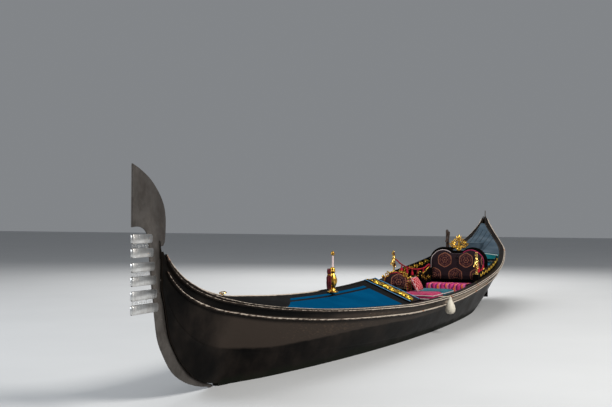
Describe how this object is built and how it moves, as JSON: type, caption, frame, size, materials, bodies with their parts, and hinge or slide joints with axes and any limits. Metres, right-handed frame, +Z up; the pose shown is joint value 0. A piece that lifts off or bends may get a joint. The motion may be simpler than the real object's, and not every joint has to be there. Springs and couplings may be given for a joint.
{
  "type": "gondola boat",
  "caption": "Long narrow rowing boat, flat rockered bottom and lopsided plan, decked ends, comb-shaped bow iron, raised stern, open well with sofa, benches and small chair.",
  "frame": {"origin": "on the centreline at the waterline, amidships", "axes": "+X to the bow, +Y to port, +Z up"},
  "size_m": [10.769, 1.4783, 1.7911],
  "materials": {
    "bare_wood": "oiled",
    "board_teal": "teal paint with a white line",
    "brass": "polished",
    "brocade": "dark brocade with medallions",
    "cord": "twisted cord",
    "crimson_fabric": "woven",
    "deck_blue": "blue gloss paint with black borders",
    "deck_slate": "slate gloss paint",
    "fender_white": "matt",
    "gilt": "gilded carving",
    "hull_black": "black gloss paint",
    "iron": "brushed, polished on the teeth",
    "pink_fabric": "woven stripes",
    "rowing_wood": "oiled walnut",
    "teal_fabric": "woven",
    "trim_black": "black gloss paint, edges worn"
  },
  "bodies": {
    "root": {"side_port": "hull_black", "side_starboard": "hull_black", "bottom": "hull_black", "stem": "hull_black", "stern_post": "hull_black", "bulkhead_fore": "hull_black", "rub_strake_upper_port": "trim_black", "rub_strake_upper_starboard": "trim_black", "rub_strake_lower_port": "trim_black", "rub_strake_lower_starboard": "trim_black", "covering_board_port": "trim_black", "covering_board_starboard": "trim_black", "foredeck_ridge": "trim_black", "foredeck_cross_board": "trim_black", "floor_timbers": "bare_wood", "ribs_port": "bare_wood", "ribs_starboard": "bare_wood", "floor_boards": "bare_wood", "gondolier_step": "deck_slate", "foredeck_port": "deck_blue", "foredeck_starboard": "deck_blue", "aft_deck": "deck_slate", "aft_deck_front": "board_teal", "bulkhead_aft": "board_teal", "bow_iron": "iron", "stern_iron": "iron", "bench_port": "trim_black", "bench_starboard": "trim_black", "bench_pad_pink": "pink_fabric", "bench_pad_teal": "teal_fabric", "bench_pad_starboard": "brocade", "cushion_striped": "crimson_fabric", "cushion_dotted": "brocade", "sofa_base": "trim_black", "sofa_seat_cushion": "brocade", "sofa_back": "brocade", "sofa_back_frame": "trim_black", "sofa_arm_port": "trim_black", "sofa_arm_starboard": "trim_black", "sofa_crest": "gilt", "sofa_rug": "pink_fabric", "side_board_port": "trim_black", "side_board_starboard": "trim_black", "sea_horse_port": "brass", "sea_horse_starboard": "brass", "chair_frame": "trim_black", "chair_cushion": "crimson_fabric", "chair_back": "brocade", "pennant_finial": "gilt", "pennant_cloth": "crimson_fabric", "forcola_block": "trim_black", "forcola": "rowing_wood", "fender": "fender_white", "fender_lanyard": "cord", "swag_port": "crimson_fabric", "swag_starboard": "crimson_fabric"}
  },
  "joints": []
}
